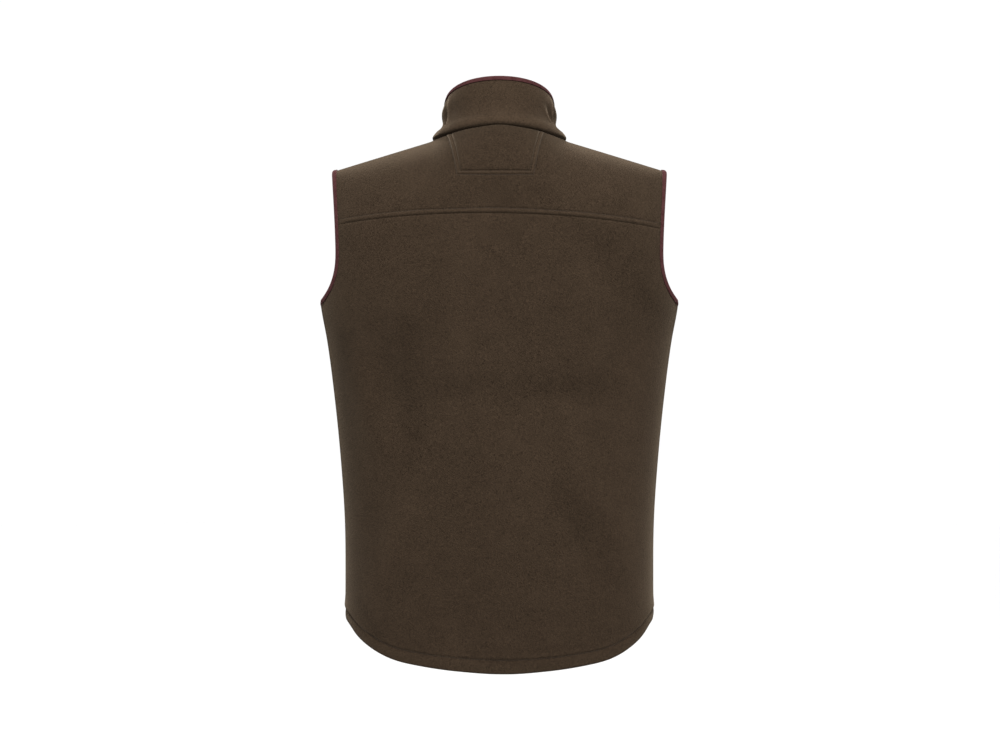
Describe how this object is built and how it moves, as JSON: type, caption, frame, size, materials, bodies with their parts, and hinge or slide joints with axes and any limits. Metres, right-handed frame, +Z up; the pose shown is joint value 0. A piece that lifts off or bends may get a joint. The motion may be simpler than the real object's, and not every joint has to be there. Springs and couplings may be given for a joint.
{
  "type": "fleece gilet",
  "caption": "Brown fleece gilet with a stand collar, wine-coloured binding at collar and armholes, a zip front and a dropped back hem, filled out as worn.",
  "frame": {"origin": "middle of the neck opening, level with the points where neck and shoulders meet", "axes": "+Z up, the zipped front faces -Y, the wearer's left is +X"},
  "size_m": [0.4814, 0.2475, 0.775],
  "materials": {
    "back_body": "brushed fleece, matt with a soft pale nap",
    "back_yoke": "brushed fleece, matt with a soft pale nap",
    "neck_panel": "brushed fleece, matt with a soft pale nap",
    "front_left": "brushed fleece, matt with a soft pale nap",
    "front_right": "brushed fleece, matt with a soft pale nap",
    "collar": "brushed fleece, matt with a soft pale nap",
    "collar_binding": "smooth knitted stretch binding, slight sheen",
    "armhole_binding_left": "smooth knitted stretch binding, slight sheen",
    "armhole_binding_right": "smooth knitted stretch binding, slight sheen",
    "zip_tape_left": "woven tape, matt",
    "zip_tape_right": "woven tape, matt",
    "zip_chain": "moulded teeth, matt",
    "zip_slider": "dark brushed metal",
    "zip_pull": "dark brushed metal",
    "zip_box": "moulded, matt"
  },
  "bodies": {
    "gilet": {"back_body": "back_body", "back_yoke": "back_yoke", "neck_panel": "neck_panel", "front_left": "front_left", "front_right": "front_right", "collar": "collar", "collar_binding": "collar_binding", "armhole_binding_left": "armhole_binding_left", "armhole_binding_right": "armhole_binding_right", "zip_tape_left": "zip_tape_left", "zip_tape_right": "zip_tape_right", "zip_chain": "zip_chain", "zip_slider": "zip_slider", "zip_box": "zip_box"},
    "pull_tab": {"zip_pull": "zip_pull"}
  },
  "joints": [
    {"name": "pull_tab_hinge", "type": "hinge", "parent": "gilet", "child": "pull_tab", "pos_m": [0, -0.08136, 0.02435], "axis": [-1, 0, 0], "range_deg": [0, 150]}
  ]
}
